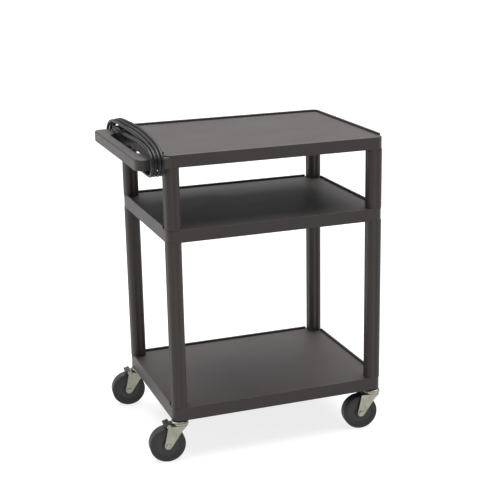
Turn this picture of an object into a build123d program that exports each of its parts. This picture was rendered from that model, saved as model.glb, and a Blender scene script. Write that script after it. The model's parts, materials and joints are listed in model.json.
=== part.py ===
from build123d import *
import os
from math import acos, atan2, cos, hypot, pi, radians, sin, tan

os.makedirs("parts", exist_ok=True)

# Rolling utility cart: three moulded shelves on eight hollow posts, a push handle moulded on the
# left end of the top shelf, four swivel casters (two with toe brakes), and an outlet box whose
# supply cord is wound lengthwise round the handle.
# Frame: millimetres, +Z up, X along the length, the front is -Y and the handle is at -X. The
# origin is on the floor under the middle of the whole cart, handle included.

# ---------------------------------------------------------------- driving dimensions
SHELF_LENGTH = 609.6
SHELF_DEPTH = 457.2
SHELF_RADIUS = 19.0
DECK_THICKNESS = 5.0
APRON_WALL = 5.0
APRON_HEIGHT = 33.5
BOTTOM_APRON_HEIGHT = 36.0
LIP_HEIGHT = 6.35
LIP_WIDTH = 6.5
TOP_LEVEL = 839.5
MIDDLE_LEVEL = 643.0
BOTTOM_LEVEL = 152.5

RIB_WIDTH = 3.0
RIB_DEPTH = 9.0
CORNER_BLOCK = 47.0

POST_WIDTH = 41.0
POST_RADIUS = 15.0
POST_BORE = 27.0
FLUTE_RADIUS = 14.0
FLUTE_DEPTH = 1.7
SPIGOT_WIDTH = 33.0
SPIGOT_RADIUS = 7.0
SPIGOT_CLEARANCE = 0.3
MIDDLE_SPIGOT = 15.0
TOP_SPIGOT = 20.0
BOTTOM_SPIGOT = 11.0

HANDLE_REACH = 75.0
HANDLE_HALF_DEPTH = 234.5
HANDLE_TOP = TOP_LEVEL - 4.0
HANDLE_BOTTOM = TOP_LEVEL - APRON_HEIGHT
HANDLE_BAR = 27.0
HANDLE_RADIUS = 22.0
HAND_HOLE_HALF = 150.0
HAND_HOLE_RADIUS = 20.0
HANDLE_WALL = 4.0
HANDLE_WEB = 5.0

WHEEL_RADIUS = 49.0
WHEEL_WIDTH = 32.0
TYRE_THICKNESS = 12.0
HUB_RADIUS = 14.0
HUB_WIDTH = 37.0
WEB_WIDTH = 27.0
RIM_WALL = 4.0
RIM_INSET = 1.0
FILLET_RUN = 1.0
BOSS_FLARE = 2.0
TRAIL = 36.0
TRAIL_ANGLE = 174.0
FORK_GAUGE = 2.5
FORK_INSIDE = 39.0
FORK_TIP_RADIUS = 10.0
CROWN_RADIUS = 23.0
CUP_RADIUS = 24.0
CUP_HEIGHT = 10.8
CUP_GAP = 1.2
BALL_RADIUS = 2.5
BALL_CIRCLE = 16.0
BALL_COUNT = 12
KINGPIN_RADIUS = 4.5
STEM_RADIUS = 5.5
STEM_LENGTH = 24.0
AXLE_RADIUS = 4.0
SLEEVE_RADIUS = 6.0
RUNNING_CLEARANCE = 0.05

BRAKE_PIVOT_TRAIL = 33.0
BRAKE_PIVOT_RISE = 1.5
BRAKE_PIN_RADIUS = 2.0

OUTLET_LEFT = -170.0
OUTLET_LENGTH = 150.0
OUTLET_BACK = 223.0
OUTLET_DEPTH = 39.0
OUTLET_TOP = HANDLE_TOP - 28.0
OUTLET_HEIGHT = 42.0
OUTLET_WALL = 2.5
FACEPLATE_THICKNESS = 2.5
EAR_LENGTH = 16.0
RECEPTACLE_SPACING = 42.0

CORD_DIAMETER = 8.5
CORD_LEVEL = HANDLE_TOP - 49.0
CORD_EXIT_X = -200.0
CORD_EXIT_Y = 203.0
PLUG_X = -330.0
PLUG_Y = 106.0
PLUG_LENGTH = 48.0
PLUG_WIDTH = 25.0
PLUG_HEIGHT = 22.0
PLUG_NECK = 24.0
PLUG_SHOULDER = 10.0

LIP_ROUND = 2.2
LIP_SETBACK = 24.0
SEAT_GAP = 0.4
FRONT_ROUND = 2.5
HANDLE_ROOT = -285.0
HANDLE_ROUND = 4.0
CHEEK_TOP_TRAIL = 35.0
CHEEK_FRONT_TRAIL = -15.0
CHEEK_KNEE_TRAIL = -4.0
CHEEK_KNEE_DROP = 13.0
CROWN_TRAIL = 28.0
CUP_WALL = 2.5
CUP_ROOF = 6.6
KINGPIN_TAIL = 6.5
KINGPIN_HEAD = 2.2
SOCKET_RADIUS = 8.0
SOCKET_FLANGE = 2.0
SOCKET_FLANGE_RADIUS = 13.0
NUT_THICKNESS = 5.0
NUT_RADIUS = 7.0
BOLT_HEAD = 3.0
BOLT_HEAD_RADIUS = 6.5
TYRE_SHOULDER = 4.5
BRAKE_EAR_RADIUS = 5.5
PEDAL_BARREL_RADIUS = 4.2
PEDAL_HALF = 3.6
PEDAL_REACH = 12.5
PEDAL_SIDE_GAP = 1.0
BOSS_RADIUS = 6.0
SCREW_RADIUS = 2.0
SCREW_GRIP = 14.0
SCREW_HEAD = 2.5
SCREW_HEAD_RADIUS = 4.2
RECEPTACLE_WIDTH = 33.0
RECEPTACLE_HEIGHT = 28.0
RECEPTACLE_RADIUS = 8.0
RECEPTACLE_BODY = 16.0
HANK_LEFT = -351.0
HANK_SIDE = -307.0
HANK_BACK_LEFT = -336.0
HANK_END_GAP = 1.5
HANK_CORNER = 24.0
HANK_FRONT = -260.0
HANK_BACK = 252.0
HANK_FRONT_RISE = 12.0
HANK_BACK_RISE = 24.0
HANK_CROWN_RISE = 43.0
HANK_ARCH_RISE = 16.0
HANK_DROP = 50.0
HANK_INNER_DROP = 36.0
PLUG_ROOM = 1.0
LEAD_ROOM = 1.0
LEAD_HEADROOM = 4.0
LEAD_JOIN_X = -312.5
LEAD_JOIN_Y = 102.0
PRONG_LENGTH = 16.0

# ---------------------------------------------------------------- derived places
CUP_OVERHANG = CUP_RADIUS - POST_WIDTH / 2
DECK_X = (HANDLE_REACH - CUP_OVERHANG) / 2
HALF_LENGTH = SHELF_LENGTH / 2
HALF_DEPTH = SHELF_DEPTH / 2
POST_X = HALF_LENGTH - POST_WIDTH / 2
POST_Y = HALF_DEPTH - POST_WIDTH / 2
CORNERS = {
    "front_left": (-1, -1),
    "front_right": (1, -1),
    "back_left": (-1, 1),
    "back_right": (1, 1),
}
BRAKED = ("front_left", "back_left")
APRON_BOTTOM = BOTTOM_LEVEL - BOTTOM_APRON_HEIGHT
CUP_TOP = APRON_BOTTOM - SOCKET_FLANGE
CUP_BOTTOM = CUP_TOP - CUP_HEIGHT
CUP_CEILING = CUP_TOP - CUP_ROOF
FORK_CROWN_TOP = CUP_BOTTOM - CUP_GAP
KINGPIN_END = FORK_CROWN_TOP - KINGPIN_TAIL
BRAKE_PIVOT_LEVEL = FORK_CROWN_TOP + BRAKE_PIVOT_RISE
HAND_HOLE_WIDTH = HANDLE_REACH - HANDLE_BAR - HANDLE_WEB
HAND_HOLE_CENTRE = -HALF_LENGTH - HANDLE_WEB - HAND_HOLE_WIDTH / 2
SCREW_X = (OUTLET_LEFT - EAR_LENGTH / 2, OUTLET_LEFT + OUTLET_LENGTH + EAR_LENGTH / 2)
SCREW_Y = OUTLET_BACK - OUTLET_DEPTH / 2


def level(z, x=0.0, y=0.0):
    """Horizontal plane at height z, centred on a point of the shelf plan."""
    return Plane(origin=(DECK_X + x, y, z), x_dir=(1, 0, 0), z_dir=(0, 0, 1))


def upright(x):
    """Plane across the cart at x: its own x runs along +Y and its own y along +Z."""
    return Plane(origin=(DECK_X + x, 0, 0), x_dir=(0, 1, 0), z_dir=(1, 0, 0))


def facing_back(x, y, z):
    """Plane that faces +Y: its own x runs along -X and its own y along +Z."""
    return Plane(origin=(DECK_X + x, y, z), x_dir=(-1, 0, 0), z_dir=(0, 1, 0))



# ---------------------------------------------------------------- shelves
def shelf_block(top, apron):
    """Outer block of a shelf; the tray runs out over the front, so the lip has three sides."""
    with BuildSketch(level(top - apron)) as outline:
        RectangleRounded(SHELF_LENGTH, SHELF_DEPTH, SHELF_RADIUS)
    extrude(outline.sketch, amount=apron + LIP_HEIGHT)
    tray_radius = SHELF_RADIUS - LIP_WIDTH
    with BuildSketch(level(top)) as tray:
        with Locations((0, -LIP_WIDTH - SHELF_RADIUS)):
            RectangleRounded(SHELF_LENGTH - 2 * LIP_WIDTH, SHELF_DEPTH + 2 * SHELF_RADIUS, tray_radius)
        with Locations((0, -HALF_DEPTH)):
            Rectangle(SHELF_LENGTH + 2, 2 * LIP_SETBACK)
    extrude(tray.sketch, amount=LIP_HEIGHT + 1, mode=Mode.SUBTRACT)


def soften_rims(part, top):
    """Round the top of the lip and the bare front edge of the deck."""
    lip_edges = part.edges().filter_by(lambda e: abs(e.center().Z - top - LIP_HEIGHT) < 0.01)
    fillet(lip_edges, radius=LIP_ROUND)
    front_edges = part.edges().filter_by(Axis.X)
    front_edges = front_edges.filter_by(lambda e: abs(e.center().Z - top) < 0.01)
    fillet(front_edges.sort_by(Axis.Y)[0], radius=FRONT_ROUND)


def hollow_underside(top, apron):
    """Take out the underside, then put back the ribs and the corner blocks."""
    inner_length = SHELF_LENGTH - 2 * APRON_WALL
    inner_depth = SHELF_DEPTH - 2 * APRON_WALL
    with BuildSketch(level(top - apron)) as cavity:
        RectangleRounded(inner_length, inner_depth, SHELF_RADIUS - APRON_WALL)
    extrude(cavity.sketch, amount=apron - DECK_THICKNESS, mode=Mode.SUBTRACT)
    with BuildSketch(level(top - DECK_THICKNESS - RIB_DEPTH)) as ribs:
        with GridLocations(0, inner_depth / 4, 1, 3):
            Rectangle(inner_length + APRON_WALL, RIB_WIDTH)
        with GridLocations(inner_length / 5, 0, 4, 1):
            Rectangle(RIB_WIDTH, inner_depth + APRON_WALL)
    extrude(ribs.sketch, amount=RIB_DEPTH)
    block_x = HALF_LENGTH - CORNER_BLOCK / 2
    block_y = HALF_DEPTH - CORNER_BLOCK / 2
    with BuildSketch(level(top - apron)) as blocks:
        with GridLocations(2 * block_x, 2 * block_y, 2, 2):
            Rectangle(CORNER_BLOCK, CORNER_BLOCK)
        RectangleRounded(SHELF_LENGTH, SHELF_DEPTH, SHELF_RADIUS, mode=Mode.INTERSECT)
    extrude(blocks.sketch, amount=apron - DECK_THICKNESS)


def post_seats(top):
    """Clear the lip where the posts stand on the deck."""
    with BuildSketch(level(top)) as seats:
        with GridLocations(2 * POST_X, 2 * POST_Y, 2, 2):
            Rectangle(POST_WIDTH + 2 * SEAT_GAP, POST_WIDTH + 2 * SEAT_GAP)
    extrude(seats.sketch, amount=LIP_HEIGHT + 1, mode=Mode.SUBTRACT)


def post_sockets(z, depth):
    """Square sockets for the post spigots, cut upward from z."""
    with BuildSketch(level(z)) as sockets:
        with GridLocations(2 * POST_X, 2 * POST_Y, 2, 2):
            RectangleRounded(SPIGOT_WIDTH, SPIGOT_WIDTH, SPIGOT_RADIUS)
    extrude(sockets.sketch, amount=depth, mode=Mode.SUBTRACT)


# Push handle: two arms and a grip bar round a hand hole, moulded in one with the top shelf.
with BuildPart() as handle:
    with BuildSketch(level(HANDLE_BOTTOM)) as handle_plan:
        with BuildLine():
            Polyline(
                (HANDLE_ROOT, -HALF_DEPTH + 1),
                (-HALF_LENGTH, -HANDLE_HALF_DEPTH),
                (-HALF_LENGTH - HANDLE_REACH, -HANDLE_HALF_DEPTH),
                (-HALF_LENGTH - HANDLE_REACH, HANDLE_HALF_DEPTH),
                (-HALF_LENGTH, HANDLE_HALF_DEPTH),
                (HANDLE_ROOT, HALF_DEPTH - 1),
                close=True,
            )
        make_face()
        fillet(handle_plan.vertices().group_by(Axis.X)[0], radius=HANDLE_RADIUS)
        with Locations((HAND_HOLE_CENTRE, 0)):
            RectangleRounded(
                HAND_HOLE_WIDTH, 2 * HAND_HOLE_HALF, HAND_HOLE_RADIUS, mode=Mode.SUBTRACT
            )
    extrude(amount=HANDLE_TOP - HANDLE_BOTTOM)
    fillet(handle.faces().sort_by(Axis.Z)[-1].edges(), radius=HANDLE_ROUND)
    fillet(handle.faces().sort_by(Axis.Z)[0].edges(), radius=HANDLE_ROUND / 2)

with BuildPart() as top_shelf:
    shelf_block(TOP_LEVEL, APRON_HEIGHT)
    soften_rims(top_shelf, TOP_LEVEL)
    add(handle.part)
    hollow_underside(TOP_LEVEL, APRON_HEIGHT)
    # The arms are open channels below; the grip bar is left thick.
    with BuildSketch(level(HANDLE_BOTTOM)):
        arm_length = HANDLE_HALF_DEPTH - HAND_HOLE_HALF - 2 * HANDLE_WALL
        arm_middle = (HANDLE_HALF_DEPTH + HAND_HOLE_HALF) / 2
        with GridLocations(0, 2 * arm_middle, 1, 2):
            with Locations((HAND_HOLE_CENTRE, 0)):
                RectangleRounded(HAND_HOLE_WIDTH - 2 * HANDLE_WALL, arm_length, HANDLE_WALL)
    extrude(amount=HANDLE_TOP - HANDLE_BOTTOM - HANDLE_WALL, mode=Mode.SUBTRACT)
    post_sockets(TOP_LEVEL - APRON_HEIGHT, TOP_SPIGOT + SPIGOT_CLEARANCE)
    # Two bosses take the outlet box's screws.
    with BuildSketch(level(OUTLET_TOP)):
        with Locations(*[(x, SCREW_Y) for x in SCREW_X]):
            Circle(BOSS_RADIUS)
    extrude(amount=TOP_LEVEL - DECK_THICKNESS - OUTLET_TOP)
    with BuildSketch(level(OUTLET_TOP)):
        with Locations(*[(x, SCREW_Y) for x in SCREW_X]):
            Circle(SCREW_RADIUS)
    extrude(amount=SCREW_GRIP, mode=Mode.SUBTRACT)
top_shelf.part.label = "top_shelf"
export_step(top_shelf.part, "parts/top_shelf.step")

with BuildPart() as middle_shelf:
    shelf_block(MIDDLE_LEVEL, APRON_HEIGHT)
    soften_rims(middle_shelf, MIDDLE_LEVEL)
    hollow_underside(MIDDLE_LEVEL, APRON_HEIGHT)
    post_seats(MIDDLE_LEVEL)
    post_sockets(MIDDLE_LEVEL - APRON_HEIGHT, APRON_HEIGHT)
middle_shelf.part.label = "middle_shelf"
export_step(middle_shelf.part, "parts/middle_shelf.step")

with BuildPart() as bottom_shelf:
    shelf_block(BOTTOM_LEVEL, BOTTOM_APRON_HEIGHT)
    soften_rims(bottom_shelf, BOTTOM_LEVEL)
    hollow_underside(BOTTOM_LEVEL, BOTTOM_APRON_HEIGHT)
    post_seats(BOTTOM_LEVEL)
    post_sockets(BOTTOM_LEVEL - BOTTOM_SPIGOT - SPIGOT_CLEARANCE, BOTTOM_SPIGOT + SPIGOT_CLEARANCE)
    with BuildSketch(level(BOTTOM_LEVEL - BOTTOM_APRON_HEIGHT)):
        with GridLocations(2 * POST_X, 2 * POST_Y, 2, 2):
            Circle(SOCKET_RADIUS)
    extrude(amount=STEM_LENGTH, mode=Mode.SUBTRACT)
bottom_shelf.part.label = "bottom_shelf"
export_step(bottom_shelf.part, "parts/bottom_shelf.step")


# ---------------------------------------------------------------- posts
def post(spot, low, high, spigot_low, spigot_high):
    """Hollow post between two shelves: a fluted square section with a plain spigot at each end."""
    x, y = spot
    flute_offset = POST_WIDTH / 2 + FLUTE_RADIUS - FLUTE_DEPTH
    with BuildSketch(level(low, x, y)) as outside:
        RectangleRounded(POST_WIDTH, POST_WIDTH, POST_RADIUS)
        with PolarLocations(flute_offset, 4):
            Circle(FLUTE_RADIUS, mode=Mode.SUBTRACT)
    extrude(outside.sketch, amount=high - low)
    spigot_width = SPIGOT_WIDTH - 2 * SPIGOT_CLEARANCE
    with BuildSketch(level(low - spigot_low, x, y)) as spigot:
        RectangleRounded(spigot_width, spigot_width, SPIGOT_RADIUS)
    extrude(spigot.sketch, amount=high - low + spigot_low + spigot_high)
    with BuildSketch(level(low - spigot_low, x, y)) as bore:
        RectangleRounded(POST_BORE, POST_BORE, SPIGOT_RADIUS)
    extrude(bore.sketch, amount=high - low + spigot_low + spigot_high, mode=Mode.SUBTRACT)


for corner, (side_x, side_y) in CORNERS.items():
    spot = (side_x * POST_X, side_y * POST_Y)
    with BuildPart() as upper_post:
        post(spot, MIDDLE_LEVEL, TOP_LEVEL - APRON_HEIGHT, MIDDLE_SPIGOT, TOP_SPIGOT)
    upper_post.part.label = f"upper_post_{corner}"
    export_step(upper_post.part, f"parts/{upper_post.part.label}.step")
    with BuildPart() as lower_post:
        post(spot, BOTTOM_LEVEL, MIDDLE_LEVEL - APRON_HEIGHT, BOTTOM_SPIGOT, MIDDLE_SPIGOT)
    lower_post.part.label = f"lower_post_{corner}"
    export_step(lower_post.part, f"parts/{lower_post.part.label}.step")


# ---------------------------------------------------------------- casters
def along_trail(stem, height=0.0, trail=0.0):
    """Horizontal plane of one caster: its x points to where the wheel trails."""
    angle = radians(TRAIL_ANGLE)
    x, y = stem
    origin = (DECK_X + x + trail * cos(angle), y + trail * sin(angle), height)
    return Plane(origin=origin, x_dir=(cos(angle), sin(angle), 0), z_dir=(0, 0, 1))


def wheel_plane(stem, trail=0.0, height=0.0):
    """Upright mid-plane of one caster's wheel: x trails, y is up, and the normal is the axle."""
    angle = radians(TRAIL_ANGLE)
    x, y = stem
    origin = (DECK_X + x + trail * cos(angle), y + trail * sin(angle), height)
    return Plane(origin=origin, x_dir=(cos(angle), sin(angle), 0), z_dir=(sin(angle), -cos(angle), 0))


def turned_profile(plane, points):
    """Revolve a closed half-profile of (radius, height) points about the plane's z axis."""
    section = Plane(origin=plane.origin, x_dir=plane.x_dir, z_dir=-plane.y_dir)
    with BuildSketch(section) as half:
        with BuildLine():
            Polyline(*points, close=True)
        make_face()
    revolve(half.sketch, axis=Axis(plane.origin, plane.z_dir))


def tip_tangent(trail, height, side):
    """Where a line from a point of the cheek touches the circle of the fork's tip."""
    run = trail - TRAIL
    rise = height - WHEEL_RADIUS
    angle = atan2(rise, run) + side * acos(FORK_TIP_RADIUS / hypot(run, rise))
    return (TRAIL + FORK_TIP_RADIUS * cos(angle), WHEEL_RADIUS + FORK_TIP_RADIUS * sin(angle))


def fork_cheek(stem):
    """Both tapering cheeks and the crown of a fork, before its holes."""
    axle = wheel_plane(stem)
    half = FORK_INSIDE / 2
    crown_bottom = FORK_CROWN_TOP - FORK_GAUGE
    knee = (CHEEK_KNEE_TRAIL, FORK_CROWN_TOP - CHEEK_KNEE_DROP)
    with BuildSketch(axle.offset(half), axle.offset(-half - FORK_GAUGE)) as cheek:
        with BuildLine():
            Polyline(
                (CHEEK_FRONT_TRAIL, FORK_CROWN_TOP),
                (CHEEK_FRONT_TRAIL, crown_bottom),
                knee,
                tip_tangent(*knee, 1),
                (TRAIL, WHEEL_RADIUS),
                tip_tangent(CHEEK_TOP_TRAIL, FORK_CROWN_TOP, -1),
                (CHEEK_TOP_TRAIL, FORK_CROWN_TOP),
                close=True,
            )
        make_face()
        with Locations((TRAIL, WHEEL_RADIUS)):
            Circle(FORK_TIP_RADIUS)
    extrude(cheek.sketch, amount=FORK_GAUGE)
    with BuildSketch(along_trail(stem, crown_bottom)) as crown:
        Circle(CROWN_RADIUS)
        with Locations(((CROWN_TRAIL + CHEEK_FRONT_TRAIL) / 2, 0)):
            Rectangle(CROWN_TRAIL - CHEEK_FRONT_TRAIL, FORK_INSIDE + 2 * FORK_GAUGE)
    extrude(crown.sketch, amount=FORK_GAUGE)


with BuildPart() as caster_sockets:
    # Steel sleeves pressed into the bottom shelf's corners, each with a flange underneath.
    for side_x, side_y in CORNERS.values():
        stem = (side_x * POST_X, side_y * POST_Y)
        with BuildSketch(along_trail(stem, CUP_TOP)):
            Circle(SOCKET_FLANGE_RADIUS)
            Circle(STEM_RADIUS + RUNNING_CLEARANCE, mode=Mode.SUBTRACT)
        extrude(amount=SOCKET_FLANGE)
        with BuildSketch(along_trail(stem, CUP_TOP + SOCKET_FLANGE)):
            Circle(SOCKET_RADIUS)
            Circle(STEM_RADIUS + RUNNING_CLEARANCE, mode=Mode.SUBTRACT)
        extrude(amount=STEM_LENGTH - SOCKET_FLANGE)
caster_sockets.part.label = "caster_sockets"
export_step(caster_sockets.part, "parts/caster_sockets.step")

for corner, (side_x, side_y) in CORNERS.items():
    stem = (side_x * POST_X, side_y * POST_Y)
    axle = wheel_plane(stem, TRAIL, WHEEL_RADIUS)
    half_fork = FORK_INSIDE / 2 + FORK_GAUGE

    # Friction stem, upper ball cup and kingpin: the part of a caster that doesn't swivel.
    with BuildPart() as caster_stem:
        turned_profile(
            along_trail(stem),
            [
                (0, KINGPIN_END),
                (KINGPIN_RADIUS + 3, KINGPIN_END),
                (KINGPIN_RADIUS + 3, KINGPIN_END + KINGPIN_HEAD),
                (KINGPIN_RADIUS, KINGPIN_END + KINGPIN_HEAD),
                (KINGPIN_RADIUS, CUP_CEILING - 1),
                (KINGPIN_RADIUS + 3, CUP_CEILING),
                (CUP_RADIUS - CUP_WALL, CUP_CEILING),
                (CUP_RADIUS - CUP_WALL, CUP_BOTTOM),
                (CUP_RADIUS, CUP_BOTTOM),
                (CUP_RADIUS, CUP_TOP - 5.5),
                (CUP_RADIUS - 1.2, CUP_TOP - 3.0),
                (CUP_RADIUS - 4.5, CUP_TOP - 1.2),
                (CUP_RADIUS - 9, CUP_TOP),
                (STEM_RADIUS, CUP_TOP),
                (STEM_RADIUS, CUP_TOP + STEM_LENGTH - 1.5),
                (STEM_RADIUS - 1.5, CUP_TOP + STEM_LENGTH),
                (0, CUP_TOP + STEM_LENGTH),
            ],
        )
    caster_stem.part.label = f"caster_stem_{corner}"
    export_step(caster_stem.part, f"parts/{caster_stem.part.label}.step")

    with BuildPart() as swivel_balls:
        with Locations(along_trail(stem, FORK_CROWN_TOP + BALL_RADIUS)):
            with PolarLocations(BALL_CIRCLE, BALL_COUNT):
                Sphere(BALL_RADIUS)
    swivel_balls.part.label = f"swivel_balls_{corner}"
    export_step(swivel_balls.part, f"parts/{swivel_balls.part.label}.step")

    with BuildPart() as fork:
        fork_cheek(stem)
        if corner in BRAKED:
            # Ears that carry the brake pin.
            with BuildSketch(
                wheel_plane(stem).offset(FORK_INSIDE / 2), wheel_plane(stem).offset(-half_fork)
            ):
                with Locations((BRAKE_PIVOT_TRAIL, BRAKE_PIVOT_LEVEL)):
                    Circle(BRAKE_EAR_RADIUS)
            extrude(amount=FORK_GAUGE)
            with BuildSketch(wheel_plane(stem, BRAKE_PIVOT_TRAIL, BRAKE_PIVOT_LEVEL)):
                Circle(BRAKE_PIN_RADIUS)
            extrude(amount=half_fork, both=True, mode=Mode.SUBTRACT)
        with BuildSketch(along_trail(stem, FORK_CROWN_TOP - FORK_GAUGE)):
            Circle(KINGPIN_RADIUS + RUNNING_CLEARANCE)
        extrude(amount=FORK_GAUGE, mode=Mode.SUBTRACT)
        with BuildSketch(axle):
            Circle(AXLE_RADIUS)
        extrude(amount=half_fork, both=True, mode=Mode.SUBTRACT)
    fork.part.label = f"fork_{corner}"
    export_step(fork.part, f"parts/{fork.part.label}.step")

    with BuildPart() as axle_bolt:
        with BuildSketch(axle.offset(-half_fork)):
            Circle(AXLE_RADIUS)
        extrude(amount=2 * half_fork + NUT_THICKNESS + 1.5)
        with BuildSketch(axle.offset(-half_fork)):
            Circle(BOLT_HEAD_RADIUS)
        extrude(amount=-BOLT_HEAD)
        fillet(axle_bolt.faces().sort_by(Axis(axle.origin, axle.z_dir))[0].edges(), radius=1.2)
    axle_bolt.part.label = f"axle_bolt_{corner}"
    export_step(axle_bolt.part, f"parts/{axle_bolt.part.label}.step")

    with BuildPart() as axle_nut:
        with BuildSketch(axle.offset(half_fork)):
            RegularPolygon(NUT_RADIUS, 6)
            Circle(AXLE_RADIUS, mode=Mode.SUBTRACT)
        extrude(amount=NUT_THICKNESS)
    axle_nut.part.label = f"axle_nut_{corner}"
    export_step(axle_nut.part, f"parts/{axle_nut.part.label}.step")

    with BuildPart() as axle_sleeve:
        with BuildSketch(axle):
            Circle(SLEEVE_RADIUS)
            Circle(AXLE_RADIUS, mode=Mode.SUBTRACT)
        extrude(amount=FORK_INSIDE / 2, both=True)
    axle_sleeve.part.label = f"axle_sleeve_{corner}"
    export_step(axle_sleeve.part, f"parts/{axle_sleeve.part.label}.step")

    rim_radius = WHEEL_RADIUS - TYRE_THICKNESS
    with BuildPart() as tyre:
        with BuildSketch(axle):
            Circle(WHEEL_RADIUS)
            Circle(rim_radius, mode=Mode.SUBTRACT)
        extrude(amount=WHEEL_WIDTH / 2, both=True)
        circles = tyre.edges().filter_by(GeomType.CIRCLE)
        fillet(circles.filter_by(lambda e: e.radius > WHEEL_RADIUS - 0.1), radius=TYRE_SHOULDER)
    tyre.part.label = f"tyre_{corner}"
    export_step(tyre.part, f"parts/{tyre.part.label}.step")

    with BuildPart() as wheel_hub:
        turned_profile(
            axle,
            [
                (SLEEVE_RADIUS + RUNNING_CLEARANCE, -HUB_WIDTH / 2),
                (HUB_RADIUS, -HUB_WIDTH / 2),
                (HUB_RADIUS + BOSS_FLARE, -WEB_WIDTH / 2),
                (rim_radius - RIM_WALL - FILLET_RUN, -WEB_WIDTH / 2),
                (rim_radius - RIM_WALL, RIM_INSET - WHEEL_WIDTH / 2),
                (rim_radius, RIM_INSET - WHEEL_WIDTH / 2),
                (rim_radius, WHEEL_WIDTH / 2 - RIM_INSET),
                (rim_radius - RIM_WALL, WHEEL_WIDTH / 2 - RIM_INSET),
                (rim_radius - RIM_WALL - FILLET_RUN, WEB_WIDTH / 2),
                (HUB_RADIUS + BOSS_FLARE, WEB_WIDTH / 2),
                (HUB_RADIUS, HUB_WIDTH / 2),
                (SLEEVE_RADIUS + RUNNING_CLEARANCE, HUB_WIDTH / 2),
            ],
        )
    wheel_hub.part.label = f"wheel_hub_{corner}"
    export_step(wheel_hub.part, f"parts/{wheel_hub.part.label}.step")

    if corner in BRAKED:
        brake = wheel_plane(stem, BRAKE_PIVOT_TRAIL, BRAKE_PIVOT_LEVEL)
        with BuildPart() as brake_pin:
            with BuildSketch(brake):
                Circle(BRAKE_PIN_RADIUS)
            extrude(amount=half_fork, both=True)
        brake_pin.part.label = f"brake_pin_{corner}"
        export_step(brake_pin.part, f"parts/{brake_pin.part.label}.step")

        # Toe pedal: a barrel on the pin and a tread that points back over the wheel.
        with BuildPart() as brake_pedal:
            with BuildSketch(brake):
                with BuildLine():
                    Polyline(
                        (0, PEDAL_HALF),
                        (PEDAL_REACH - 3.5, PEDAL_HALF + 1.2),
                        (PEDAL_REACH, PEDAL_HALF - 1.2),
                        (PEDAL_REACH - 1, -PEDAL_HALF + 1),
                        (PEDAL_REACH - 5, -PEDAL_HALF),
                        (0, -PEDAL_HALF),
                        close=True,
                    )
                make_face()
                Circle(PEDAL_BARREL_RADIUS)
                Circle(BRAKE_PIN_RADIUS + RUNNING_CLEARANCE, mode=Mode.SUBTRACT)
            extrude(amount=FORK_INSIDE / 2 - PEDAL_SIDE_GAP, both=True)
        brake_pedal.part.label = f"brake_pedal_{corner}"
        export_step(brake_pedal.part, f"parts/{brake_pedal.part.label}.step")


# ---------------------------------------------------------------- outlet box
box_low = OUTLET_TOP - OUTLET_HEIGHT
box_middle_x = OUTLET_LEFT + OUTLET_LENGTH / 2
box_middle_y = OUTLET_BACK - OUTLET_DEPTH / 2
box_middle_z = OUTLET_TOP - OUTLET_HEIGHT / 2
face_plane = facing_back(box_middle_x, OUTLET_BACK - FACEPLATE_THICKNESS, box_middle_z)

with BuildPart() as outlet_housing:
    with BuildSketch(level(box_low, box_middle_x, box_middle_y)):
        Rectangle(OUTLET_LENGTH, OUTLET_DEPTH)
    extrude(amount=OUTLET_HEIGHT)
    fillet(outlet_housing.edges().filter_by(Axis.Z), radius=2)
    with BuildSketch(face_plane.offset(FACEPLATE_THICKNESS)):
        Rectangle(OUTLET_LENGTH - 2 * OUTLET_WALL, OUTLET_HEIGHT - 2 * OUTLET_WALL)
    extrude(amount=-OUTLET_DEPTH + OUTLET_WALL, mode=Mode.SUBTRACT)
    with BuildSketch(level(OUTLET_TOP - OUTLET_WALL, box_middle_x, box_middle_y)):
        with Locations(*[(x - box_middle_x, 0) for x in SCREW_X]):
            Rectangle(EAR_LENGTH, EAR_LENGTH)
    extrude(amount=OUTLET_WALL)
    with BuildSketch(level(OUTLET_TOP - OUTLET_WALL, box_middle_x, box_middle_y)):
        with Locations(*[(x - box_middle_x, 0) for x in SCREW_X]):
            Circle(SCREW_RADIUS)
    extrude(amount=OUTLET_WALL, mode=Mode.SUBTRACT)
    with BuildSketch(Plane.YZ.offset(DECK_X + OUTLET_LEFT)):
        with Locations((CORD_EXIT_Y, CORD_LEVEL)):
            Circle(CORD_DIAMETER / 2 + 1)
    extrude(amount=OUTLET_WALL, mode=Mode.SUBTRACT)
outlet_housing.part.label = "outlet_housing"
export_step(outlet_housing.part, "parts/outlet_housing.step")

with BuildPart() as outlet_faceplate:
    with BuildSketch(face_plane):
        Rectangle(OUTLET_LENGTH - 2 * OUTLET_WALL - 0.4, OUTLET_HEIGHT - 2 * OUTLET_WALL - 0.4)
        with GridLocations(RECEPTACLE_SPACING, 0, 3, 1):
            RectangleRounded(RECEPTACLE_WIDTH, RECEPTACLE_HEIGHT, RECEPTACLE_RADIUS, mode=Mode.SUBTRACT)
    extrude(amount=FACEPLATE_THICKNESS)
outlet_faceplate.part.label = "outlet_faceplate"
export_step(outlet_faceplate.part, "parts/outlet_faceplate.step")

with BuildPart() as receptacles:
    with BuildSketch(face_plane.offset(-RECEPTACLE_BODY)):
        with GridLocations(RECEPTACLE_SPACING, 0, 3, 1):
            RectangleRounded(RECEPTACLE_WIDTH - 0.4, RECEPTACLE_HEIGHT - 0.4, RECEPTACLE_RADIUS)
    extrude(amount=RECEPTACLE_BODY + FACEPLATE_THICKNESS)
    # Two blade slots and a round ground hole in each.
    with BuildSketch(face_plane.offset(FACEPLATE_THICKNESS)):
        with GridLocations(RECEPTACLE_SPACING, 0, 3, 1):
            with Locations((-6.35, 2.5), (6.35, 2.5)):
                Rectangle(2.0, 8.0)
            with Locations((0, -7.0)):
                Circle(2.7)
    extrude(amount=-RECEPTACLE_BODY - FACEPLATE_THICKNESS + 2, mode=Mode.SUBTRACT)
receptacles.part.label = "receptacles"
export_step(receptacles.part, "parts/receptacles.step")

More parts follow.
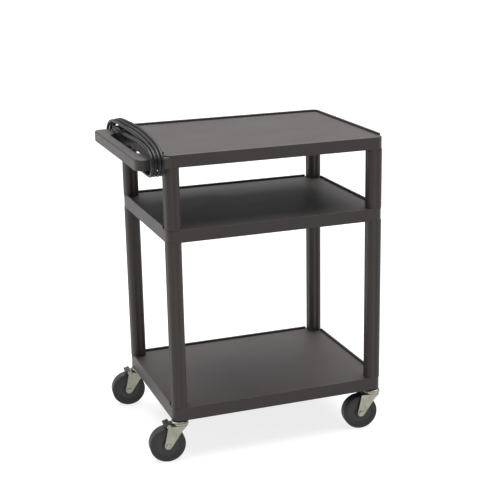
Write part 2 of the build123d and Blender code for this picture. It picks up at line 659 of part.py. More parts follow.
with BuildPart() as contact_strips:
    # Line, neutral and ground strips behind the receptacles.
    with BuildSketch(face_plane.offset(-RECEPTACLE_BODY)):
        with Locations((0, 8.0), (0, 0.0), (0, -8.0)):
            Rectangle(2 * RECEPTACLE_SPACING + 24, 5.0)
    extrude(amount=-0.8)
contact_strips.part.label = "contact_strips"
export_step(contact_strips.part, "parts/contact_strips.step")

with BuildPart() as outlet_screws:
    with BuildSketch(level(OUTLET_TOP - OUTLET_WALL, 0, box_middle_y)):
        with Locations(*[(x, 0) for x in SCREW_X]):
            Circle(SCREW_RADIUS)
    extrude(amount=OUTLET_WALL + SCREW_GRIP - 1)
    with BuildSketch(level(OUTLET_TOP - OUTLET_WALL, 0, box_middle_y)):
        with Locations(*[(x, 0) for x in SCREW_X]):
            Circle(SCREW_HEAD_RADIUS)
    extrude(amount=-SCREW_HEAD)
outlet_screws.part.label = "outlet_screws"
export_step(outlet_screws.part, "parts/outlet_screws.step")

with BuildPart() as strain_relief:
    relief_length = OUTLET_LEFT - CORD_EXIT_X
    wall_plane = Plane(
        origin=(DECK_X + OUTLET_LEFT, CORD_EXIT_Y, CORD_LEVEL), x_dir=(0, 1, 0), z_dir=(-1, 0, 0)
    )
    turned_profile(
        wall_plane,
        [
            (0, -OUTLET_WALL),
            (CORD_DIAMETER / 2 + 1, -OUTLET_WALL),
            (CORD_DIAMETER / 2 + 1, 0),
            (CORD_DIAMETER / 2 + 4, 0),
            (CORD_DIAMETER / 2 + 4, 5),
            (CORD_DIAMETER / 2 + 1.2, relief_length),
            (0, relief_length),
        ],
    )
strain_relief.part.label = "strain_relief"
export_step(strain_relief.part, "parts/strain_relief.step")

# ---------------------------------------------------------------- supply cord
LEAD_ROUTE = [
    (CORD_EXIT_X, CORD_EXIT_Y, CORD_LEVEL),
    (-225.0, CORD_EXIT_Y, CORD_LEVEL),
    (-249.0, 192.0, CORD_LEVEL - 1),
    (-268.0, 178.0, CORD_LEVEL),
    (-287.0, 167.0, CORD_LEVEL + 2),
    (-304.0, 151.0, CORD_LEVEL + 4),
    (LEAD_JOIN_X, 128.0, CORD_LEVEL + 5.5),
    (LEAD_JOIN_X, LEAD_JOIN_Y, CORD_LEVEL + 5.5),
]
route = [Vector(DECK_X + x, y, z) for x, y, z in LEAD_ROUTE]
bends = []
for before, here, after in zip(route, route[1:], route[2:]):
    turn = radians((here - before).get_angle(after - here))
    shorter = min((here - before).length, (after - here).length)
    bends.append(0.45 * shorter / tan(turn / 2))
print("cord lead bend radii, mm:", [round(bend, 1) for bend in bends])

with BuildPart() as cord_lead:
    with BuildLine() as lead_line:
        FilletPolyline(*route, radius=bends)
    with BuildSketch(Plane(origin=route[0], z_dir=route[1] - route[0])):
        Circle(CORD_DIAMETER / 2)
    sweep(path=lead_line.line)
cord_lead.part.label = "cord_lead"
export_step(cord_lead.part, "parts/cord_lead.step")
lead_length = sum(edge.length for edge in lead_line.edges())
section_area = pi * CORD_DIAMETER**2 / 4
volume_ratio = cord_lead.part.volume / (section_area * lead_length)
print("cord lead length, mm:", round(lead_length, 1), "volume ratio:", round(volume_ratio, 4))

# Outer shape of the cord wound lengthwise round the handle: a flat ring that rests on the arms
# and is arched over the hand hole. Its back end bridges the plug, which lies on the back arm.
HANK_BOTTOM = HANDLE_TOP - HANK_DROP
HANK_INNER_BOTTOM = HANDLE_TOP - HANK_INNER_DROP
HANK_CROWN = HANDLE_TOP + HANK_CROWN_RISE
front_shoulder = (HANK_FRONT, HANDLE_TOP + HANK_FRONT_RISE)
back_shoulder = (HANK_BACK, HANDLE_TOP + HANK_BACK_RISE)
inner_end = HANDLE_HALF_DEPTH + HANK_END_GAP
plug_side = PLUG_Y - PLUG_NECK + SHELF_DEPTH / 2

with BuildPart() as cord_hank:
    with BuildSketch(upright(HANK_LEFT)) as hank_ring:
        with BuildLine():
            ThreePointArc(front_shoulder, (0, HANK_CROWN), back_shoulder)
            Polyline(
                back_shoulder, (HANK_BACK, HANK_BOTTOM), (HANK_FRONT, HANK_BOTTOM), front_shoulder
            )
        make_face()
        fillet(hank_ring.vertices(), radius=HANK_CORNER)
        with BuildLine():
            ThreePointArc(
                (-HAND_HOLE_HALF, HANDLE_TOP),
                (0, HANDLE_TOP + HANK_ARCH_RISE),
                (HAND_HOLE_HALF, HANDLE_TOP),
            )
            Polyline(
                (HAND_HOLE_HALF, HANDLE_TOP),
                (inner_end, HANDLE_TOP),
                (inner_end, HANK_INNER_BOTTOM),
                (-inner_end, HANK_INNER_BOTTOM),
                (-inner_end, HANDLE_TOP),
                (-HAND_HOLE_HALF, HANDLE_TOP),
            )
        make_face(mode=Mode.SUBTRACT)
    extrude(amount=HANK_SIDE - HANK_LEFT)
    # The plug and its neck lie under the last turns.
    room_right = PLUG_X + PLUG_WIDTH / 2 + PLUG_ROOM
    with BuildSketch(level(HANDLE_TOP)):
        with Locations(((HANK_LEFT + room_right) / 2, plug_side)):
            Rectangle(room_right - HANK_LEFT, SHELF_DEPTH)
    extrude(amount=PLUG_HEIGHT + PLUG_ROOM, mode=Mode.SUBTRACT)
    # Only three strands go round the back, so the ring is narrower there.
    with BuildSketch(level(HANK_BOTTOM)):
        with Locations(((HANK_LEFT + HANK_BACK_LEFT) / 2, plug_side)):
            Rectangle(HANK_BACK_LEFT - HANK_LEFT, SHELF_DEPTH)
    extrude(amount=HANK_CROWN - HANK_BOTTOM, mode=Mode.SUBTRACT)
    # The lead runs in beside the bottom turns.
    with BuildSketch(level(HANK_BOTTOM)):
        with Locations((HANK_SIDE, LEAD_JOIN_Y + SHELF_DEPTH / 2)):
            Rectangle(2 * (HANK_SIDE - LEAD_JOIN_X + CORD_DIAMETER / 2 + LEAD_ROOM), SHELF_DEPTH)
    extrude(amount=HANK_INNER_BOTTOM + LEAD_HEADROOM - HANK_BOTTOM, mode=Mode.SUBTRACT)
cord_hank.part.label = "cord_hank"
export_step(cord_hank.part, "parts/cord_hank.step")

# ---------------------------------------------------------------- plug
plug_middle = HANDLE_TOP + PLUG_HEIGHT / 2
plug_back = PLUG_Y + PLUG_LENGTH

with BuildPart() as plug_body:
    with BuildSketch(facing_back(PLUG_X, PLUG_Y, plug_middle)):
        RectangleRounded(PLUG_WIDTH - 5, PLUG_HEIGHT - 5, 5)
    with BuildSketch(facing_back(PLUG_X, PLUG_Y + PLUG_SHOULDER, plug_middle)):
        RectangleRounded(PLUG_WIDTH, PLUG_HEIGHT, 6)
    loft()
    with BuildSketch(facing_back(PLUG_X, PLUG_Y + PLUG_SHOULDER, plug_middle)):
        RectangleRounded(PLUG_WIDTH, PLUG_HEIGHT, 6)
    extrude(amount=PLUG_LENGTH - PLUG_SHOULDER)
    turned_profile(
        facing_back(PLUG_X, PLUG_Y - PLUG_NECK, plug_middle),
        [
            (0, 0),
            (CORD_DIAMETER / 2 + 1, 0),
            (CORD_DIAMETER / 2 + 3.5, PLUG_NECK + 1),
            (0, PLUG_NECK + 1),
        ],
    )
plug_body.part.label = "plug_body"
export_step(plug_body.part, "parts/plug_body.step")

with BuildPart() as plug_prongs:
    with BuildSketch(facing_back(PLUG_X, plug_back, plug_middle)):
        with Locations((-6.35, 2.5), (6.35, 2.5)):
            Rectangle(1.5, 6.3)
    extrude(amount=PRONG_LENGTH)
    with BuildSketch(facing_back(PLUG_X, plug_back, plug_middle)):
        with Locations((0, -6.0)):
            Circle(2.4)
    extrude(amount=PRONG_LENGTH + 2)
plug_prongs.part.label = "plug_prongs"
export_step(plug_prongs.part, "parts/plug_prongs.step")
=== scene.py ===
# %% [markdown]
# A rolling utility cart
#
# Three shelves moulded in dark grey structural foam stand on hollow fluted posts. One end of the
# top shelf carries a push handle, and the supply cord of a small outlet box is wound round it.
# Four zinc-plated casters carry the lot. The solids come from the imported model: this file gives
# them their finishes, and makes again the pieces whose real surface a plain solid can't show.

import json
from math import cos, pi, radians, sin

import bpy
import numpy as np
from mathutils import Matrix, Vector


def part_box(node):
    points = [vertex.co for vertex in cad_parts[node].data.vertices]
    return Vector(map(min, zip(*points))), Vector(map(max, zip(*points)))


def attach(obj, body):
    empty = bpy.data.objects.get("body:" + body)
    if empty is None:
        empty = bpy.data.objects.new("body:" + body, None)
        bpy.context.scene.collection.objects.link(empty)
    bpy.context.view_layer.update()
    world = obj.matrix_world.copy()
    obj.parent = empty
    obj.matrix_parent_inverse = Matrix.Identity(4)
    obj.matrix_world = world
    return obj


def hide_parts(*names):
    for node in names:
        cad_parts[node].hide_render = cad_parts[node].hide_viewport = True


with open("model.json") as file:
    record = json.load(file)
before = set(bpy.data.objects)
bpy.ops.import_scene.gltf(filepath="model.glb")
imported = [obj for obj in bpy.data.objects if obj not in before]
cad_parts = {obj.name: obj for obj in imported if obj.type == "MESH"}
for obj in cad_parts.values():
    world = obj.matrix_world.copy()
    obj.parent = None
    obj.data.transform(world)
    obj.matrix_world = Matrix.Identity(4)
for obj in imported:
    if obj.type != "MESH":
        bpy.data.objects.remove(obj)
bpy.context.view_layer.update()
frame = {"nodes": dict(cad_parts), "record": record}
nodes = frame["nodes"]

# %% [markdown]
# Where things are
#
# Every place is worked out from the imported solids, so nothing has to be fitted. The middle of the
# shelves is the middle of the bottom shelf's box, which the handle doesn't widen.

# %% Measure the frame
MM = 0.001
shelf_low, shelf_high = (np.array(corner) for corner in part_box("bottom_shelf"))
SHELF_X = (shelf_low[0] + shelf_high[0]) / 2
LIP_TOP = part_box("top_shelf")[1][2]
DECK_TOP = LIP_TOP - 6.35 * MM
HANDLE_TOP = DECK_TOP - 4.0 * MM
print("shelf middle x:", round(SHELF_X, 4), "handle top:", round(HANDLE_TOP, 4))

# %% [markdown]
# The camera
#
# A long lens a little over three metres away keeps the verticals nearly parallel. The camera looks
# slightly down, from the handle end, and is rolled by one degree.

# %% Camera
CAMERA_YAW = radians(-19.89)
CAMERA_PITCH = radians(16.08)
CAMERA_ROLL = radians(-1.05)
CAMERA_DISTANCE = 3.3725
CAMERA_LENS = 85.65
CAMERA_AIM = Vector((SHELF_X + 0.00103, 0.0, LIP_TOP - 0.3467))

back = Vector(
    (
        sin(CAMERA_YAW) * cos(CAMERA_PITCH),
        -cos(CAMERA_YAW) * cos(CAMERA_PITCH),
        sin(CAMERA_PITCH),
    )
)
right = (-back).cross(Vector((0, 0, 1))).normalized()
up = right.cross(-back)
rolled_right = right * cos(CAMERA_ROLL) + up * sin(CAMERA_ROLL)
rolled_up = up * cos(CAMERA_ROLL) - right * sin(CAMERA_ROLL)

camera_data = bpy.data.cameras.new("camera")
camera_data.lens = CAMERA_LENS
camera = bpy.data.objects.new("camera", camera_data)
bpy.context.collection.objects.link(camera)
turn = Matrix((rolled_right, rolled_up, back)).transposed().to_4x4()
camera.matrix_world = Matrix.Translation(CAMERA_AIM + back * CAMERA_DISTANCE) @ turn
bpy.context.scene.camera = camera

# %% [markdown]
# The supply cord
#
# A round vinyl cord leaves the outlet box under the top shelf, runs past the back post and is
# wound lengthwise round the two arms of the handle. Its lead is a short list of points. The turns
# come from a loop over one turn's stations: along under the handle, up round its front, back over
# the top in a low arch, and down behind. Each turn lies a cord's width beside the last.

# %% Cord route
CORD_DIAMETER = 8.5 * MM
CORD_TURNS = 3
CORD_STEPS = 8
CORD_ROUNDNESS = 5
# Every point is (along X from the shelf middle, along Y, height over the handle), in millimetres.
LEAD = [
    (-200.0, 203.0, -49.0),
    (-225.0, 203.0, -49.0),
    (-249.0, 192.0, -50.0),
    (-268.0, 178.0, -49.0),
    (-287.0, 167.0, -47.0),
    (-304.0, 151.0, -45.0),
    (-312.5, 128.0, -43.5),
]
# Side places of each strand: under the handle at the back, at the front bend, over the middle of
# the hand hole, and at the back bend.
BOTTOM_X = [-312.5, -322.0, -331.0, -340.0]
FRONT_X = [-317.0, -326.5, -336.0, -345.5]
MIDDLE_X = [-311.0, -321.0, -331.5, -342.0]
BACK_X = [-311.5, -320.5, -330.0, -330.0]
# How far each arch rises over the stations below, falling off as a cosine to either side.
ARCH_RISE = [5.0, 1.5, -3.0]
ARCH_SPAN = 480.0
# How far each strand stands out at the front, so that they don't lie like a coil spring.
FRONT_BULGE = [0.0, 3.0, 1.0, 4.0]
# One turn as (along Y, height) stations.
UNDER = [(100, -43.5), (30, -44.5), (-40, -45), (-110, -44.5), (-170, -43.5), (-212, -44)]
FRONT_BEND = [(-240, -42), (-256, -26), (-257, -3), (-243, 14)]
OVER = [(-215, 23), (-165, 29), (-100, 33), (-30, 35), (40, 35), (105, 34), (160, 33), (205, 29)]
BACK_BEND = [(238, 18), (252, -6), (246, -30), (222, -43), (172, -43.5)]
LAST_RUN = [(-215, 22), (-165, 26), (-100, 26), (-45, 23), (0, 19), (38, 15), (62, 12), (83, 11)]


def spread(first, last, count):
    """Evenly spaced values from just after first up to last."""
    return [first + (last - first) * (i + 1) / count for i in range(count)]


def side_places(strand, stations, kind):
    """The strand's sideways places along one stretch, moving evenly from its start to its end."""
    if kind == "under":
        return spread(BOTTOM_X[strand], FRONT_X[strand], len(stations))
    if kind == "front":
        return [FRONT_X[strand]] * len(stations)
    if kind == "over":
        half = len(stations) // 2
        outward = spread(FRONT_X[strand], MIDDLE_X[strand], half)
        return outward + spread(MIDDLE_X[strand], BACK_X[strand], len(stations) - half)
    return spread(BACK_X[strand], BOTTOM_X[strand + 1], len(stations))


def cord_route():
    """Every control point of the cord, in metres: the lead, the turns, and the run to the plug."""
    route = list(LEAD)
    for strand in range(CORD_TURNS + 1):
        last = strand == CORD_TURNS
        stretches = [("under", UNDER), ("front", FRONT_BEND), ("over", LAST_RUN if last else OVER)]
        if not last:
            stretches.append(("back", BACK_BEND))
        for kind, stations in stretches:
            for x, (y, z) in zip(side_places(strand, stations, kind), stations):
                if kind == "front":
                    y -= FRONT_BULGE[strand]
                if kind == "over" and not last:
                    z += ARCH_RISE[strand] * cos(pi * y / ARCH_SPAN)
                route.append((x, y, z))
    return [(SHELF_X + x * MM, y * MM, HANDLE_TOP + z * MM) for x, y, z in route]


def nurbs_curve(name, points, radius):
    """A round cord along one smooth open spline with these control points."""
    data = bpy.data.curves.new(name, "CURVE")
    data.dimensions = "3D"
    spline = data.splines.new("NURBS")
    spline.points.add(len(points) - 1)
    spline.points.foreach_set("co", [value for point in points for value in (*point, 1.0)])
    spline.points.foreach_set("radius", [radius] * len(points))
    spline.order_u = 3
    spline.use_endpoint_u = True
    spline.resolution_u = CORD_STEPS
    # The points carry the radius, so the curve's own box is the cord's box and not a metre more.
    data.bevel_depth = 1.0
    data.bevel_resolution = CORD_ROUNDNESS
    data.use_fill_caps = True
    piece = bpy.data.objects.new(name, data)
    bpy.context.collection.objects.link(piece)
    return piece


# %% [markdown]
# The moulded ends of the cord
#
# The plug and the strain relief are soft mouldings. Each is a shell of rings along an axis, whose
# half width and half height change from station to station. Grooves round the neck and the sleeve
# let them bend, and shallow ridges on the plug's sides give the fingers a grip.

# %% Ringed shells
RING_SIDES = 48
SHARP_EDGE = radians(38)
# One groove as (part of the pitch, depth in millimetres).
GROOVE = [(0.0, 0.0), (0.52, 0.0), (0.6, 0.9), (0.9, 0.9), (0.98, 0.0)]
ELLIPSE = 2.0


def ringed_shell(name, start, along, width_axis, stations):
    """A closed shell of superellipse rings.

    At distance s the ring is start + s*along + w*c(a)*width_axis + h*c(a - 90 deg)*up, where
    c(a) = sign(cos a) * |cos a| ** (2/n). An exponent n of 2 is an ellipse, and 5 a rounded box.
    """
    angle = np.linspace(0, 2 * pi, RING_SIDES, endpoint=False)
    distance, width, height, power = (column[:, None] for column in np.array(stations, float).T)
    across = np.sign(np.cos(angle)) * np.abs(np.cos(angle)) ** (2 / power)
    upward = np.sign(np.sin(angle)) * np.abs(np.sin(angle)) ** (2 / power)
    points = (
        np.array(start)
        + (distance * MM)[..., None] * np.array(along)
        + (width * MM * across)[..., None] * np.array(width_axis)
        + (height * MM * upward)[..., None] * np.array((0, 0, 1))
    )
    rings = len(stations)
    number = np.arange(rings * RING_SIDES).reshape(rings, RING_SIDES)
    beside = np.roll(number, -1, axis=1)
    quads = np.stack([number[:-1], beside[:-1], beside[1:], number[1:]], axis=-1).reshape(-1, 4)
    mesh = bpy.data.meshes.new(name)
    caps = [number[0][::-1].tolist(), number[-1].tolist()]
    mesh.from_pydata(points.reshape(-1, 3).tolist(), [], quads.tolist() + caps)
    mesh.shade_smooth()
    mesh.set_sharp_from_angle(angle=SHARP_EDGE)
    piece = bpy.data.objects.new(name, mesh)
    bpy.context.collection.objects.link(piece)
    return piece


def grooved_taper(start, length, first, last, grooves):
    """Round stations that widen from first to last, with grooves cut square into them."""
    pitch = length / grooves
    stations = []
    for step in range(grooves):
        for part, depth in GROOVE:
            along = (step + part) * pitch
            radius = first + (last - first) * along / length - depth
            stations.append((start + along, radius, radius, ELLIPSE))
    return stations


# %% The plug's shell
# Lengths in millimetres. The shoulder starts at these shares of the body's width and height.
NECK_LENGTH = 24.0
NECK_RADII = (5.2, 7.6)
NECK_GROOVES = 5
SHOULDER_LENGTH = 10.0
SHOULDER_STEPS = 8
SHOULDER_WIDTH = 0.66
SHOULDER_HEIGHT = 0.68
SHOULDER_POWER = 2.4
BODY_POWER = 4.0
BODY_STEPS = 40
RIDGES = 3
RIDGE_DEPTH = 0.7
RIDGED_PART = 0.84
BACK_ROUNDING = 1.2
BACK_BEVEL = 0.4


def plug_stations(length, half_width, half_height):
    """The neck, a shoulder that swells out smoothly, the gripped body and its rounded back edge."""
    stations = grooved_taper(0.0, NECK_LENGTH - 1, *NECK_RADII, NECK_GROOVES)
    for step in range(SHOULDER_STEPS + 1):
        swell = (1 - cos(pi * step / SHOULDER_STEPS)) / 2
        stations.append(
            (
                NECK_LENGTH + SHOULDER_LENGTH * step / SHOULDER_STEPS,
                half_width * (SHOULDER_WIDTH + (1 - SHOULDER_WIDTH) * swell),
                half_height * (SHOULDER_HEIGHT + (1 - SHOULDER_HEIGHT) * swell),
                SHOULDER_POWER + (BODY_POWER - SHOULDER_POWER) * swell,
            )
        )
    body_start = NECK_LENGTH + SHOULDER_LENGTH
    for step in range(1, BODY_STEPS + 1):
        along = step / BODY_STEPS
        ridge = RIDGE_DEPTH * max(0.0, sin(2 * RIDGES * pi * along)) if along < RIDGED_PART else 0.0
        place = body_start + (length - body_start - BACK_ROUNDING) * along
        stations.append((place, half_width - ridge, half_height, BODY_POWER))
    for before_end, narrowing in ((BACK_BEVEL, BACK_BEVEL), (0.0, BACK_ROUNDING)):
        stations.append(
            (length - before_end, half_width - narrowing, half_height - narrowing, BODY_POWER)
        )
    return stations


plug_low, plug_high = (np.array(corner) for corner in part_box("plug_body"))
plug_middle = (plug_low + plug_high) / 2
plug_half = (plug_high - plug_low) / 2 / MM
plug_shell = ringed_shell(
    "plug_shell",
    (plug_middle[0], plug_low[1], plug_middle[2]),
    (0, 1, 0),
    (-1, 0, 0),
    plug_stations(2 * plug_half[1], plug_half[0], plug_half[2]),
)
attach(plug_shell, "cart")
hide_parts("plug_body")

# %% The strain relief's shell
COLLAR = 5.0
COLLAR_ROUNDING = 0.5
RELIEF_GROOVES = 4

relief_low, relief_high = (np.array(corner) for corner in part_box("strain_relief"))
relief_middle = (relief_low + relief_high) / 2
relief_length = (relief_high[0] - relief_low[0]) / MM
sleeve = (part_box("outlet_housing")[0][0] - relief_low[0]) / MM - COLLAR
inner_radius = CORD_DIAMETER / MM / 2 + 1.0
collar_radius = (relief_high[1] - relief_low[1]) / 2 / MM
rim_radius = collar_radius - COLLAR_ROUNDING
collar_end = sleeve + COLLAR
relief_shell = ringed_shell(
    "relief_shell",
    (relief_low[0], relief_middle[1], relief_middle[2]),
    (1, 0, 0),
    (0, 1, 0),
    grooved_taper(0.0, sleeve, inner_radius + 0.2, collar_radius - 0.4, RELIEF_GROOVES)
    + [
        (sleeve, rim_radius, rim_radius, ELLIPSE),
        (sleeve + COLLAR_ROUNDING, collar_radius, collar_radius, ELLIPSE),
        (collar_end, collar_radius, collar_radius, ELLIPSE),
        (collar_end + 0.01, inner_radius, inner_radius, ELLIPSE),
        (relief_length, inner_radius, inner_radius, ELLIPSE),
    ],
)
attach(relief_shell, "cart")
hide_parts("strain_relief")

# %% Lay the cord
route = cord_route()
supply_cord = nurbs_curve("supply_cord", route, CORD_DIAMETER / 2)
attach(supply_cord, "cart")
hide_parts("cord_lead", "cord_hank")

# %% [markdown]
# Finishes
#
# Each finish is one Principled shader. Its grain comes from noise on Object coordinates, which are
# the cart's own metres, so the grain has its real size and stays put on every piece. Each finish
# has two colours that a slow noise blends and fine bumps, and most have a roughness that varies with a
# noise.


# %% Shader helpers
def new_finish(name, roughness, metallic=0.0):
    """A material with an empty Principled shader, its nodes, and Object coordinates."""
    material = bpy.data.materials.new(name)
    material.use_nodes = True
    tree = material.node_tree
    shader = tree.nodes["Principled BSDF"]
    shader.inputs["Roughness"].default_value = roughness
    shader.inputs["Metallic"].default_value = metallic
    place = tree.nodes.new("ShaderNodeTexCoord").outputs["Object"]
    return material, tree, shader, place


def noise(tree, place, scale, detail=3.0, stretch=(1, 1, 1)):
    """Noise of so many cells per metre, stretched along the axes."""
    mapping = tree.nodes.new("ShaderNodeMapping")
    mapping.inputs["Scale"].default_value = stretch
    tree.links.new(place, mapping.inputs["Vector"])
    node = tree.nodes.new("ShaderNodeTexNoise")
    node.inputs["Scale"].default_value = scale
    node.inputs["Detail"].default_value = detail
    tree.links.new(mapping.outputs["Vector"], node.inputs["Vector"])
    return node.outputs["Fac"]


def ramp(tree, factor, stops):
    """Colours along a factor; stops are (position, colour)."""
    node = tree.nodes.new("ShaderNodeValToRGB")
    band = node.color_ramp
    while len(band.elements) < len(stops):
        band.elements.new(0.5)
    for element, (position, colour) in zip(band.elements, stops):
        element.position = position
        element.color = (*colour, 1.0)
    tree.links.new(factor, node.inputs["Fac"])
    return node.outputs["Color"]


def span(tree, factor, low, high):
    """The factor stretched from 0..1 to low..high."""
    node = tree.nodes.new("ShaderNodeMapRange")
    node.inputs["To Min"].default_value = low
    node.inputs["To Max"].default_value = high
    tree.links.new(factor, node.inputs["Value"])
    return node.outputs["Result"]


def bump(tree, shader, heights):
    """Stack bumps; heights are (factor, depth in metres)."""
    normal = None
    for factor, depth in heights:
        node = tree.nodes.new("ShaderNodeBump")
        node.inputs["Distance"].default_value = depth
        tree.links.new(factor, node.inputs["Height"])
        if normal is not None:
            tree.links.new(normal, node.inputs["Normal"])
        normal = node.outputs["Normal"]
    tree.links.new(normal, shader.inputs["Normal"])


# %% Finishes
# Colours are linear, noise scales are cells a metre, and bump depths are metres.
def moulded_plastic():
    """Dark warm grey structural foam: a fine pebble, faint swirls, slightly polished high spots."""
    material, tree, shader, place = new_finish("moulded_plastic", 0.5)
    swirl = noise(tree, place, 9.0, 4.0, (1.0, 1.6, 1.0))
    pebble = noise(tree, place, 900.0, 2.0)
    colour = ramp(tree, swirl, [(0.3, (0.050, 0.041, 0.037)), (0.7, (0.060, 0.050, 0.045))])
    tree.links.new(colour, shader.inputs["Base Color"])
    tree.links.new(span(tree, swirl, 0.42, 0.54), shader.inputs["Roughness"])
    bump(tree, shader, [(pebble, 0.00025), (noise(tree, place, 60.0), 0.0002)])
    shader.inputs["Specular IOR Level"].default_value = 0.34
    return material


def zinc_plate():
    """Bright zinc on pressed steel: a soft yellow-green cast and drawing marks down the fork."""
    material, tree, shader, place = new_finish("zinc_plate", 0.32, 1.0)
    blotch = noise(tree, place, 45.0, 4.0)
    marks = noise(tree, place, 260.0, 2.0, (1.0, 1.0, 0.08))
    colour = ramp(tree, blotch, [(0.3, (0.25, 0.245, 0.195)), (0.7, (0.35, 0.345, 0.285))])
    tree.links.new(colour, shader.inputs["Base Color"])
    tree.links.new(span(tree, marks, 0.26, 0.42), shader.inputs["Roughness"])
    bump(tree, shader, [(marks, 0.00004), (blotch, 0.0002)])
    return material


def tyre_rubber():
    """Dark grey rubber with a dusty bloom and a fine matt grain."""
    material, tree, shader, place = new_finish("tyre_rubber", 0.6)
    dust = noise(tree, place, 60.0, 5.0)
    colour = ramp(tree, dust, [(0.35, (0.021, 0.018, 0.017)), (0.7, (0.031, 0.027, 0.025))])
    tree.links.new(colour, shader.inputs["Base Color"])
    tree.links.new(span(tree, dust, 0.5, 0.68), shader.inputs["Roughness"])
    bump(tree, shader, [(noise(tree, place, 1500.0), 0.0001)])
    return material


def hub_plastic():
    """Moulded grey-black plastic, a little smoother than the tyre."""
    material, tree, shader, place = new_finish("hub_plastic", 0.45)
    cloud = noise(tree, place, 90.0, 3.0)
    colour = ramp(tree, cloud, [(0.3, (0.026, 0.024, 0.023)), (0.7, (0.034, 0.031, 0.029))])
    tree.links.new(colour, shader.inputs["Base Color"])
    tree.links.new(span(tree, cloud, 0.38, 0.5), shader.inputs["Roughness"])
    bump(tree, shader, [(noise(tree, place, 1200.0), 0.00008)])
    return material


def black_plastic(name, roughness, level):
    """Plain moulded black plastic with a faint grain."""
    material, tree, shader, place = new_finish(name, roughness)
    cloud = noise(tree, place, 120.0, 3.0)
    colour = ramp(tree, cloud, [(0.3, (level * 0.85,) * 3), (0.7, (level * 1.15,) * 3)])
    tree.links.new(colour, shader.inputs["Base Color"])
    bump(tree, shader, [(noise(tree, place, 1400.0), 0.00006)])
    return material


def cord_vinyl():
    """Black vinyl jacket: a soft gloss, with scuffs that dull it in places."""
    material, tree, shader, place = new_finish("cord_vinyl", 0.3)
    scuff = noise(tree, place, 70.0, 4.0)
    colour = ramp(tree, scuff, [(0.35, (0.009, 0.008, 0.008)), (0.75, (0.017, 0.015, 0.015))])
    tree.links.new(colour, shader.inputs["Base Color"])
    tree.links.new(span(tree, scuff, 0.30, 0.50), shader.inputs["Roughness"])
    shader.inputs["Specular IOR Level"].default_value = 0.32
    bump(tree, shader, [(noise(tree, place, 700.0), 0.00005)])
    return material


def brass():
    """Plated brass, lightly brushed."""
    material, tree, shader, place = new_finish("brass", 0.25, 1.0)
    grain = noise(tree, place, 400.0, 2.0, (1, 0.1, 1))
    colour = ramp(tree, grain, [(0.3, (0.62, 0.48, 0.24)), (0.7, (0.72, 0.58, 0.31))])
    tree.links.new(colour, shader.inputs["Base Color"])
    bump(tree, shader, [(grain, 0.00002)])
    return material


# %% Give every carried-over node its finish
FINISHES = {
    "moulded_plastic": moulded_plastic(),
    "zinc_steel": zinc_plate(),
    "tyre_rubber": tyre_rubber(),
    "hub_plastic": hub_plastic(),
    "outlet_black": black_plastic("outlet_black", 0.45, 0.022),
    "receptacle_plastic": black_plastic("receptacle_plastic", 0.3, 0.035),
    "contact_brass": brass(),
    "cord_black": cord_vinyl(),
}
for subpart in frame["record"]["subparts"]:
    piece = nodes[subpart["node"]]
    piece.data.materials.clear()
    piece.data.materials.append(FINISHES[subpart["material_slot"]])
for piece in (supply_cord, plug_shell, relief_shell):
    piece.data.materials.append(FINISHES["cord_black"])

# %% [markdown]
# Stage and light
#
# A white floor in a white world gives the clean, high-key look of a catalogue picture. A very wide
# sun overhead lights the decks more than the front faces, and a soft panel on the left lights the
# ends of the shelves. The floor bounces less light than it shows, for the same reason.


# %% Floor, world and lights
def area_light(name, place, aim, size, power):
    """A square soft light at a place, pointed at an aim."""
    data = bpy.data.lights.new(name, "AREA")
    data.size = size
    data.energy = power
    lamp = bpy.data.objects.new(name, data)
    lamp.location = place
    lamp.rotation_euler = (Vector(aim) - Vector(place)).to_track_quat("-Z", "Y").to_euler()
    bpy.context.collection.objects.link(lamp)
    return lamp


FLOOR_SIZE = 60.0
FLOOR_GREY = 0.25
FLOOR_GLOW = 0.8
BOUNCE_COLOUR = (0.16, 0.155, 0.15, 1.0)
WHITE = (1.0, 1.0, 1.0, 1.0)

half = FLOOR_SIZE / 2
floor_corners = [(-half, -half, 0), (half, -half, 0), (half, half, 0), (-half, half, 0)]
floor_data = bpy.data.meshes.new("floor")
floor_data.from_pydata(floor_corners, [], [(0, 1, 2, 3)])
floor = bpy.data.objects.new("floor", floor_data)
bpy.context.collection.objects.link(floor)
floor_finish, floor_tree, floor_shader = new_finish("floor", roughness=0.9)[:3]
floor_shader.inputs["Base Color"].default_value = (FLOOR_GREY, FLOOR_GREY, FLOOR_GREY, 1.0)
floor_shader.inputs["Emission Color"].default_value = WHITE
floor_shader.inputs["Emission Strength"].default_value = FLOOR_GLOW
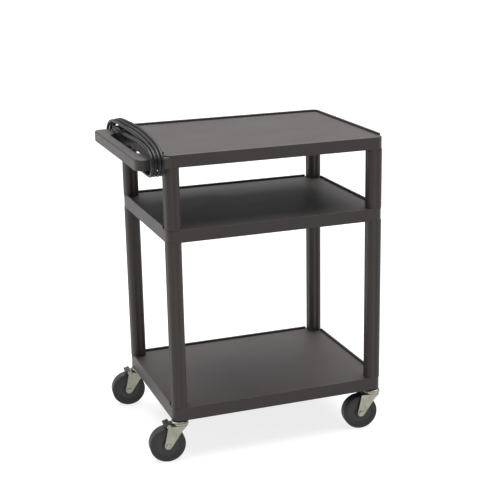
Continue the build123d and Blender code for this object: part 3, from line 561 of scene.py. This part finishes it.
# The eye and the zinc's reflections see a bright floor. Soft light bounces off a dim one, so the
# front faces stay darker than the decks.
dim_floor = floor_tree.nodes.new("ShaderNodeBsdfDiffuse")
dim_floor.inputs["Color"].default_value = BOUNCE_COLOUR
floor_ray = floor_tree.nodes.new("ShaderNodeLightPath")
floor_mix = floor_tree.nodes.new("ShaderNodeMixShader")
floor_tree.links.new(floor_ray.outputs["Is Diffuse Ray"], floor_mix.inputs[0])
floor_tree.links.new(floor_shader.outputs["BSDF"], floor_mix.inputs[1])
floor_tree.links.new(dim_floor.outputs["BSDF"], floor_mix.inputs[2])
floor_tree.links.new(floor_mix.outputs["Shader"], floor_tree.nodes["Material Output"].inputs["Surface"])
floor_data.materials.append(floor_finish)

# %% World
AMBIENT = 0.4
SKY_COLOUR = (0.97, 0.98, 1.0, 1.0)

world = bpy.data.worlds.new("studio")
world.use_nodes = True
world_tree = world.node_tree
soft_sky = world_tree.nodes["Background"]
soft_sky.inputs["Color"].default_value = SKY_COLOUR
soft_sky.inputs["Strength"].default_value = AMBIENT
white_wall = world_tree.nodes.new("ShaderNodeBackground")
white_wall.inputs["Color"].default_value = WHITE
ray = world_tree.nodes.new("ShaderNodeLightPath")
either = world_tree.nodes.new("ShaderNodeMixShader")
world_tree.links.new(ray.outputs["Is Camera Ray"], either.inputs[0])
world_tree.links.new(soft_sky.outputs["Background"], either.inputs[1])
world_tree.links.new(white_wall.outputs["Background"], either.inputs[2])
world_tree.links.new(either.outputs["Shader"], world_tree.nodes["World Output"].inputs["Surface"])
bpy.context.scene.world = world
bpy.context.scene.view_settings.view_transform = "Standard"

# %% Lights
SUN_STRENGTH = 5.7
SUN_WIDTH = radians(70)
SUN_COLOUR = (0.94, 0.96, 1.0)
SUN_DIRECTION = Vector((-0.12, -0.2, -1.0))

sun_data = bpy.data.lights.new("overhead", "SUN")
sun_data.energy = SUN_STRENGTH
sun_data.angle = SUN_WIDTH
sun_data.color = SUN_COLOUR
sun = bpy.data.objects.new("overhead", sun_data)
sun.rotation_euler = SUN_DIRECTION.to_track_quat("-Z", "Y").to_euler()
bpy.context.collection.objects.link(sun)
area_light("left", place=(-2.6, 0.6, 0.45), aim=(0, 0, 0.4), size=1.4, power=12.0)

# %% Finish
bpy.context.view_layer.update()
